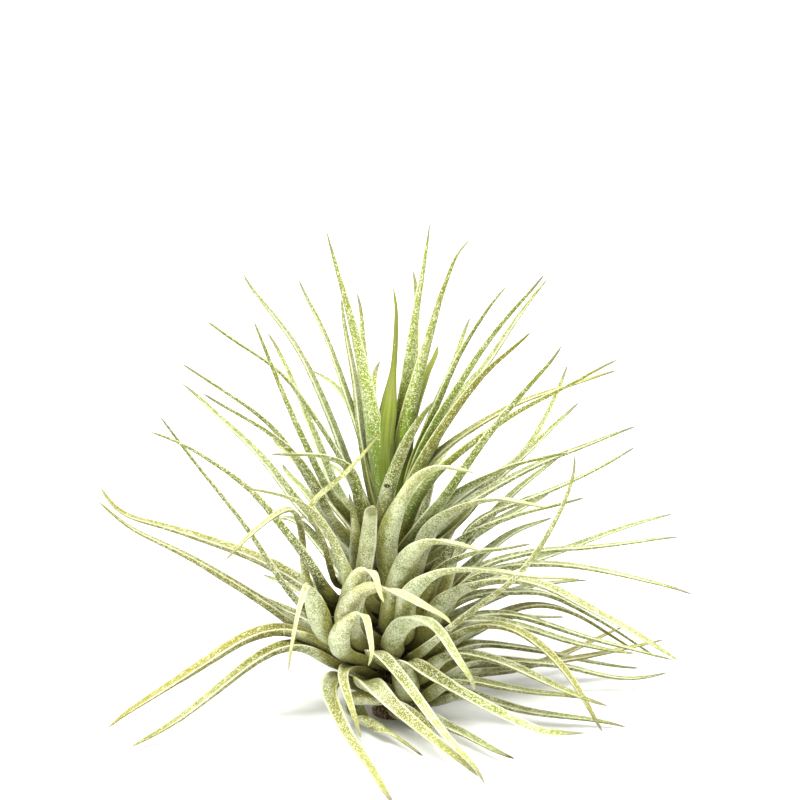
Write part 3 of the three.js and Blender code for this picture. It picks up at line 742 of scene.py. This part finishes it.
def crowding(points, block, corner):
    """How crowded it is just outside each point of a leaf, from 0 to 1."""
    rings = points[:-2].reshape(-1, SIDES, 3)
    out = rings - rings.mean(1)[:, None]
    out /= np.maximum(np.linalg.norm(out, axis=2), TINY)[:, :, None]
    look = np.vstack([(rings + out * LOOK_OUT).reshape(-1, 3), points[-2:]])
    cubes = np.clip(((look - corner) / CUBE).astype(int), 0, np.array(block.shape) - 1)
    return block[tuple(cubes.T)]


block, corner = fullness_of(np.vstack([points for points, _, _ in swept]))
for points, _, values in swept:
    values["deep"] = crowding(points, block, corner)
print("crowding, typical and most:", np.round(np.percentile(np.concatenate(
    [values["deep"] for _, _, values in swept]), [10, 50, 90, 99]), 2))

# %% [markdown]
# ## Leaf colour
# The green tissue shows through wherever the scales are thin, so it comes first: fresh green
# in the heart, darker low down as painted shade and lighter where a leaf reaches the light as
# painted light, grey-green on the bulb, yellow-green towards the tip, olive where a leaf has
# aged. Faces that look down get a darker green, which is painted shade. Fine veins run along
# the leaf, so their noise is stretched along it.
# Colours are given as they look on a screen, and LIT turns them into the leaf's own share,
# because the lamps and the white room brighten them again.

# %% Pigments
LIT = 0.68                                   # share of a seen colour that is the leaf's own


def pigment(r, g, b):
    return tuple(LIT * c for c in seen_as(r, g, b))


# The heart's fresh green, darker low down as painted shade and lighter higher up as painted light.
HEART_GREEN_SHADED = pigment(112, 136, 20)          # low in the green heart
HEART_GREEN_LIT = pigment(168, 188, 54)         # where a heart leaf reaches the light
TISSUE_GREY = pigment(110, 122, 36)          # the plump base
TISSUE_BLADE = pigment(102, 112, 16)
# Painted shade: a darker green for faces that look down.
PAINTED_UNDERSIDE_SHADE = pigment(88, 92, 8)            # faces that look down
TISSUE_OUTER = pigment(138, 147, 48)         # towards the tip
TISSUE_PALE = pigment(208, 208, 132)         # blanched ends
TISSUE_OLIVE = pigment(168, 158, 38)
TISSUE_LOW = pigment(124, 120, 28)           # the lowest leaves
FROST = pigment(249, 253, 214)
FROST_WARM = pigment(253, 255, 214)
PIT = pigment(78, 86, 18)
# Painted shade near the roots of older leaves.
ROOT_SHADE = pigment(120, 114, 40)
# Painted shade where leaves crowd, laid on by multiplying.
CREVICE_SHADE = (0.56, 0.52, 0.2)
DRY_TIP = pigment(136, 130, 96)
DEAD_TIP = pigment(96, 76, 36)
DARK_SPOT = pigment(58, 54, 16)
print("frost:", np.round(FROST, 2), "blade:", np.round(TISSUE_BLADE, 2))

# %% What several finishes ask for
LEAF_VALUES = ("far", "left", "end", "across", "youth", "olive", "bare", "tone", "pale",
               "deep", "plump", "low", "dead")
PER_METRE = 1000.0                           # noise is scaled in millimetres
CLOUDS, CLUMPS = 0.3, 1.1                    # how many to the millimetre


def noise(m, place, scale, detail):
    return m.node("ShaderNodeTexNoise", sockets={"Vector": place, "Scale": scale,
                                                 "Detail": detail})


def leaf_masks(m):
    """The numbers each point carries, and the masks that several finishes share."""
    at = SimpleNamespace(**{key: value_of(m, key) for key in LEAF_VALUES})
    place = m.node("ShaderNodeTexCoord", out="Object")
    at.place = m.node("ShaderNodeVectorMath", {"operation": "SCALE"},
                      {0: place, "Scale": PER_METRE})
    at.cloud = noise(m, at.place, CLOUDS, 4.0)
    at.patch = between(m, at.cloud, 0.35, 0.65)
    at.base = between(m, at.plump + 0.5 * at.patch, 0.3, 1.15)
    at.age = between(m, at.youth, 0.9, 0.1)
    at.aged = at.olive * between(m, at.left, 0.9, 0.45)
    at.low = at.low * between(m, at.left, 0.25, 0.6)
    normal = m.node("ShaderNodeNewGeometry", out="Normal")
    height = m.node("ShaderNodeSeparateXYZ", sockets={0: normal}, out=2)
    # Painted shade: faces that look down get a darker green and fewer flecks.
    at.under = between(m, height, 0.35, -0.55)
    return at


# %% Tissue
VEINS_ACROSS, VEINS_ALONG = 7.0, 0.06        # many across the leaf, few along it


def tissue_colour(m, at):
    """The green of a leaf without its scales, with painted shade on faces that look down."""
    tissue = blend(m, at.base, TISSUE_BLADE, TISSUE_GREY)
    # Painted shade low in the heart, painted light where a leaf reaches out of it.
    green = blend(m, between(m, at.far, 16.0, 56.0), HEART_GREEN_SHADED, HEART_GREEN_LIT)
    tissue = blend(m, between(m, at.youth, 0.15, 0.7), tissue, green)
    tip = between(m, at.left - 0.15 * at.patch, 0.62, 0.12)
    tissue = blend(m, tip, tissue, TISSUE_OUTER)
    blanched = at.pale * (1 - at.base) * between(m, at.left, 0.85, 0.4)
    tissue = blend(m, blanched, tissue, TISSUE_PALE)
    tissue = blend(m, at.aged * (0.7 + 0.3 * at.cloud), tissue, TISSUE_OLIVE)
    tissue = blend(m, at.low * between(m, at.plump, 0.8, 0.2) * 0.7, tissue, TISSUE_LOW)
    lane = m.node("ShaderNodeCombineXYZ", sockets={
        0: at.across * VEINS_ACROSS, 1: at.far * VEINS_ALONG, 2: at.tone * 40.0})
    vein = noise(m, lane, 1.0, 3.0)
    tissue = m.node("ShaderNodeHueSaturation", sockets={
        "Value": 1.0 + (0.9 + 0.8 * at.bare) * (vein - 0.5), "Color": tissue})
    # Faces that look down are darkened here: painted shade.
    shaded = at.under * (0.5 - 0.3 * at.base) * (1 - 0.6 * at.youth)
    return blend(m, shaded, tissue, PAINTED_UNDERSIDE_SHADE)


# %% [markdown]
# ## Frost
# The silver is a coat of tiny round scales, dense on the plump base and thin on the blade,
# on old leaves and in the young heart; on faces that look down the flecks are thinned further
# as painted shade. A cell texture gives one fleck to each cell. Its random lot decides whether
# the fleck is there: the higher the cover, the more lots win. Between the flecks lie small
# dark pits, and the rim of the leaf is pale.

# %% Flecks of scale
FLECKS = ((5.4, 0.75), (3.6, 0.85))          # how many to the millimetre, and how strong


def cover_of(m, at):
    """The share of flecks that are there, from 0 to 1."""
    clump = noise(m, at.place, CLUMPS, 2.0)
    cover = 0.27 + 0.15 * at.base * at.age + 0.1 * at.patch + 0.2 * clump - 0.14 * at.low
    # Faces that look down lose flecks: painted shade.
    cover = cover - 0.16 * at.under * (1 - at.base)
    cover = cover * (1 - at.bare) * (1 - 0.45 * at.aged)
    cover = cover * (at.age + (1 - at.age) * between(m, at.far, 16.0, 34.0))
    return cover - 0.16 * between(m, at.end, 20.0, 4.0)


def frosted(m, at, tissue):
    """The tissue under its scales, and the mask of the larger flecks."""
    silver = blend(m, m.maths("MAXIMUM", at.base * at.age, at.pale), FROST_WARM, FROST)
    colour = blend(m, at.base * at.age * (0.14 + 0.2 * at.patch), tissue, silver)
    cover = cover_of(m, at)
    for scale, strength in FLECKS:
        cells, lots = [m.node("ShaderNodeTexVoronoi", {"feature": "F1"},
                              {"Vector": at.place, "Scale": scale}, out=k) for k in (0, 1)]
        lot = m.node("ShaderNodeSeparateColor", sockets={0: lots}, out=0)
        fleck = between(m, cells, 0.64, 0.32) * between(m, cover - lot, -0.03, 0.03)
        pit = between(m, cells, 0.62, 0.25) * between(m, lot, 0.84, 0.88)
        colour = blend(m, pit * 0.45 * (1 - at.bare) * (1 - at.pale), colour, PIT)
        thick = strength * (1 - 0.6 * at.bare) * (1 - 0.2 * at.base)
        colour = blend(m, fleck * thick, colour, silver)
    rim = between(m, m.maths("ABSOLUTE", at.across), 0.88, 0.985) * (0.5 + 0.3 * at.patch)
    rim = rim * between(m, at.end, 3.0, 12.0) * (1 - at.bare)
    return blend(m, rim, colour, silver), fleck


# %% [markdown]
# ## Age, wear and painted shade
# Where leaves crowd the colour is darkened warm and dim, and right at the root of older leaves
# it turns a darker olive; both are painted shade. The tips dry out, on a few leaves the last
# millimetres have died, and the silvery leaf in front of the heart has one dark spot. Each is
# a mask that lays one more colour on top.

# %% Painted crease shade, tips and a spot
SPOT_PLACE = seen((-1.3, 47.4, -15.2))
SPOT_STRETCH, SPOT_RADIUS, SPOT_CORE = (1.0, 0.4, 1.8), 1.1, 0.6


def worn_and_shaded(m, at, colour):
    # Painted shade: the colour is darkened where leaves crowd.
    painted_crease_shade = m.node("ShaderNodeMix", {"data_type": "RGBA", "blend_type": "MULTIPLY"},
                    {0: between(m, at.deep, 0.26, 0.62), 6: colour, 7: (*CREVICE_SHADE, 1)},
                    out=2)
    # Painted shade: near the root of older leaves the colour turns a darker olive.
    colour = blend(m, between(m, at.far, 12.0, 3.0) * 0.6 * at.age, painted_crease_shade, ROOT_SHADE)
    dry = between(m, at.end, 6.0, 1.0) * between(m, at.tone, 0.1, 0.4) * (1 - 0.7 * at.pale)
    colour = blend(m, dry, colour, DRY_TIP)
    colour = blend(m, between(m, at.end - at.dead, 0.5, -0.5), colour, DEAD_TIP)
    away = m.node("ShaderNodeVectorMath", {"operation": "SUBTRACT"},
                  {0: at.place, 1: SPOT_PLACE})
    away = m.node("ShaderNodeVectorMath", {"operation": "MULTIPLY"}, {0: away, 1: SPOT_STRETCH})
    away = m.node("ShaderNodeVectorMath", {"operation": "LENGTH"}, {0: away}, out="Value")
    return blend(m, between(m, away, SPOT_RADIUS, SPOT_CORE), colour, DARK_SPOT)


# %% Leaf material
def leaf_material(name):
    material, shader, m = new_material(name)
    at = leaf_masks(m)
    colour, fleck = frosted(m, at, tissue_colour(m, at))
    shade = m.node("ShaderNodeHueSaturation", sockets={
        "Hue": 0.5 + 0.012 * (at.tone - 0.5), "Value": 0.88 + 0.24 * at.tone,
        "Color": worn_and_shaded(m, at, colour)})
    m.plug(shader.inputs["Base Color"], shade)
    m.plug(shader.inputs["Roughness"], 0.62 + 0.2 * fleck)
    m.plug(shader.inputs["Normal"], m.node("ShaderNodeBump", sockets={
        "Strength": 0.5, "Distance": 0.0001, "Height": fleck}))
    shader.inputs["Sheen Weight"].default_value = 0.08
    shader.inputs["Sheen Roughness"].default_value = 0.5
    shader.inputs["Specular IOR Level"].default_value = 0.3
    print(name, "nodes:", len(material.node_tree.nodes))
    return material


leaf_look = leaf_material("leaf_frosted")

# %% Dress every leaf
MOSTLY_OLIVE = 0.6

for leaf, (points, faces, values) in zip(older_leaves, swept):
    piece = mesh_object("frosted_" + leaf["name"], points * MM, faces, leaf_look, values)
    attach(piece, "root")
    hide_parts(leaf["name"])
    "leaf_olive" if leaf["olive"] > MOSTLY_OLIVE else "leaf_grey_green"


def joined(parts):
    """Several leaves as the points, faces and values of one mesh."""
    points, faces, start = [], [], 0
    for part in parts:
        points.append(part[0])
        faces += [tuple(v + start for v in face) for face in part[1]]
        start += len(part[0])
    values = {key: np.concatenate([part[2][key] for part in parts]) for key in parts[0][2]}
    return np.vstack(points), faces, values


heart_points, heart_faces, heart_values = joined(swept[len(older_leaves):])
heart = mesh_object("heart_leaves", heart_points * MM, heart_faces, leaf_look, heart_values)
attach(heart, "root")
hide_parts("heart")
print("leaves dressed:", len(all_leaves), "faces of the heart:", len(heart_faces))

# %% [markdown]
# ## Scales that stand up
# The silver of this plant is thousands of tiny scales that drink the dew. Painted flecks
# stay flat at the rim of a leaf, so the larger scales are real: low four-sided caps set on
# the leaf, denser where it lies open, and taller and slimmer along its two edges.

# %% Where the scales sit
SCALES_PER_MM2 = 1.5
SCALE_RADIUS, SCALE_RISE = (0.07, 0.14), (0.04, 0.1)
EDGE_RADIUS, EDGE_RISE = (0.05, 0.09), (0.12, 0.26)
EDGE_SIDES = (0, SIDES // 2 - 1, SIDES // 2, SIDES - 1)
SCALE_LEAN, SCALE_SUNK = 0.3, 0.03
CAP_FACES = np.array(((0, 1, 4), (1, 2, 4), (2, 3, 4), (3, 0, 4), (0, 3, 2), (0, 2, 1)))
CAP_POINTS = 5
SCALE_SEED = 900


def on_grid(numbers):
    """Numbers of a leaf's points as rings and sides, without the two ends."""
    return numbers[:-2].reshape(STATIONS, SIDES, *numbers.shape[1:])


def faces_of(points):
    """The four corners, the area and the outward normal of every face of a leaf."""
    grid = on_grid(points)
    low, high = grid[:-1], grid[1:]
    low_next, high_next = np.roll(low, -1, 1), np.roll(high, -1, 1)
    normal = np.cross(high - low, low_next - low)
    area = np.linalg.norm(normal, axis=2)
    normal /= np.maximum(area, TINY)[:, :, None]
    out = low - low.mean(1)[:, None]
    normal *= np.sign((normal * out).sum(2))[:, :, None]
    return (low, high, low_next, high_next), area, normal


def scale_places(part, leaf, own):
    """Where the scales of a leaf sit, which way they face, and the faces they are on."""
    points, _, values = part
    corners, area, normal = faces_of(points)
    far, end, deep = [on_grid(values[key])[:-1] for key in ("far", "end", "deep")]
    # None where leaves crowd, few near the tip, and few low down in the young heart.
    open_air = np.clip(1.2 - 2.2 * deep, 0, 1) * smooth_step(end / 12)
    young = 1 - leaf["youth"] * (1 - smooth_step((far - 14) / 16))
    weight = (area * open_air * young * (1 - leaf["bare"])).reshape(-1)
    count = int(weight.sum() * SCALES_PER_MM2)
    i, j = np.divmod(own.choice(len(weight), count, p=weight / weight.sum()), SIDES)
    a, b = own.uniform(0, 1, (2, count, 1))
    low, high, low_next, high_next = [corner[i, j] for corner in corners]
    place = (low * (1 - a) + high * a) * (1 - b) + (low_next * (1 - a) + high_next * a) * b
    return place, normal[i, j], i, j


# %% Raised scales
def scales_on(part, leaf, seed):
    """Points, faces and warmth of the scales of one leaf."""
    own = np.random.default_rng(seed)
    place, normal, i, j = scale_places(part, leaf, own)
    count = len(place)
    edge = np.isin(j, EDGE_SIDES)[:, None]
    radius, rise = [
        np.where(edge, own.uniform(*at_edge, (count, 1)), own.uniform(*inside, (count, 1)))
        for at_edge, inside in ((EDGE_RADIUS, SCALE_RADIUS), (EDGE_RISE, SCALE_RISE))]
    lean = unit(normal + own.normal(0, SCALE_LEAN, (count, 3)))
    side = unit(np.cross(lean, own.normal(0, 1, (count, 3))))
    other = np.cross(lean, side)
    foot = place - lean * SCALE_SUNK
    caps = np.stack([foot + side * radius, foot + other * radius, foot - side * radius,
                     foot - other * radius, place + lean * rise], axis=1)
    starts = np.arange(count)[:, None] * CAP_POINTS
    faces = np.concatenate([starts + face for face in CAP_FACES])
    warm = 1 - on_grid(part[2]["plump"])[i, j]
    return caps.reshape(-1, 3), faces, np.repeat(warm, CAP_POINTS)


def scale_material():
    material, shader, m = new_material("scale_silver")
    place = m.node("ShaderNodeTexCoord", out="Object")
    speckle = noise(m, place, 1600.0, 2.0)
    silver = blend(m, value_of(m, "warm"), FROST, FROST_WARM)
    m.plug(shader.inputs["Base Color"], m.node("ShaderNodeHueSaturation", sockets={
        "Value": 0.7 + 0.6 * speckle, "Color": silver}))
    m.plug(shader.inputs["Roughness"], 0.55 + 0.3 * speckle)
    shader.inputs["Specular IOR Level"].default_value = 0.3
    return material


scale_look = scale_material()
for name, first, last in (("scales_of_older_leaves", 0, len(older_leaves)),
                          ("scales_of_the_heart", len(older_leaves), len(all_leaves))):
    points, faces, warm, start = [], [], [], 0
    for number in range(first, last):
        caps, triangles, warmth = scales_on(swept[number], all_leaves[number],
                                            SCALE_SEED + number)
        points.append(caps)
        faces.append(triangles + start)
        warm.append(warmth)
        start += len(caps)
    piece = mesh_object(name, np.vstack(points) * MM, np.vstack(faces).tolist(), scale_look,
                        {"warm": np.concatenate(warm)}, smooth=False)
    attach(piece, "root")
    print(name, "scales:", start // CAP_POINTS)

# %% [markdown]
# ## Stem
# Little of the stem shows: a short brown stump, ringed by the scars and dry fibres of old
# leaves, with a flat end that the plant stands on.

# %% Woody stem
STEM_FOOT, FOOT_HEIGHT, FOOT_FLAT = 4.7, 2.0, 0.8
FOOT_RIM = STEM_FOOT - 0.2
STEM_INSET = 0.25                            # the wood stays under the leaves' roots
CORE_RADIUS = 2.4                            # inside the bulb
STEM_TOP, STEM_PEAK = HEART_TIP - 6, HEART_TIP - 4
RINGS, SPOKES = 60, 96
FIBRES = ((23, 0.4, 0.1), (37, 2.1, 0.07), (9, 1, 0.12))  # how many, turned by, how deep
SCAR_DEPTH, SCAR_PACE = 0.16, 2.6
BARK_SHARE = 0.8                             # how strongly fibres and scars show
BARK_DARK, BARK_PALE = seen_as(62, 46, 30), seen_as(148, 122, 86)
GRAIN_STRETCH = (2600.0, 2600.0, 420.0)      # fine round the stem, long along it


def stem_mesh():
    z = np.linspace(0, STEM_TOP, RINGS)
    turn = np.linspace(0, 2 * math.pi, SPOKES, endpoint=False)
    foot = STEM_FOOT - (STEM_FOOT - STEM_WAIST) * smooth_step(
        (z - FOOT_FLAT) / (FOOT_HEIGHT - FOOT_FLAT))
    radius = np.where(z < FOOT_HEIGHT, foot, axis_radius(z)) - STEM_INSET
    radius = np.where(z > STEM_HEIGHT, np.minimum(radius, CORE_RADIUS), radius)
    fibre = sum(np.sin(turn * count + start)[None] * depth for count, start, depth in FIBRES)
    scars = SCAR_DEPTH * np.sin(z * SCAR_PACE)[:, None]
    reach = radius[:, None] + (fibre + scars) * BARK_SHARE
    reach[0] = np.minimum(reach[0], FOOT_RIM)
    height = np.broadcast_to(z[:, None], reach.shape)
    grid = np.stack([reach * np.cos(turn), reach * np.sin(turn), height], -1)
    points = np.vstack([grid.reshape(-1, 3), [[0, 0, 0]], [[0, 0, STEM_PEAK]]])
    outward = [(face[0], *face[:0:-1]) for face in tube_faces(RINGS, SPOKES)]
    return points * MM, outward


def wood_material():
    material, shader, m = new_material("stem_fibres")
    place = m.node("ShaderNodeTexCoord", out="Object")
    stretched = m.node("ShaderNodeVectorMath", {"operation": "MULTIPLY"},
                       {0: place, 1: GRAIN_STRETCH})
    grain = noise(m, stretched, 1.0, 6.0)
    m.plug(shader.inputs["Base Color"],
           blend(m, between(m, grain, 0.35, 0.68), BARK_DARK, BARK_PALE))
    m.plug(shader.inputs["Normal"], m.node("ShaderNodeBump", sockets={
        "Strength": 0.8, "Distance": 0.0002, "Height": grain}))
    shader.inputs["Roughness"].default_value = 0.9
    return material


stem = mesh_object("woody_stem", *stem_mesh(), wood_material())
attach(stem, "root")
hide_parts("stem")
print("stem points:", len(stem.data.vertices))
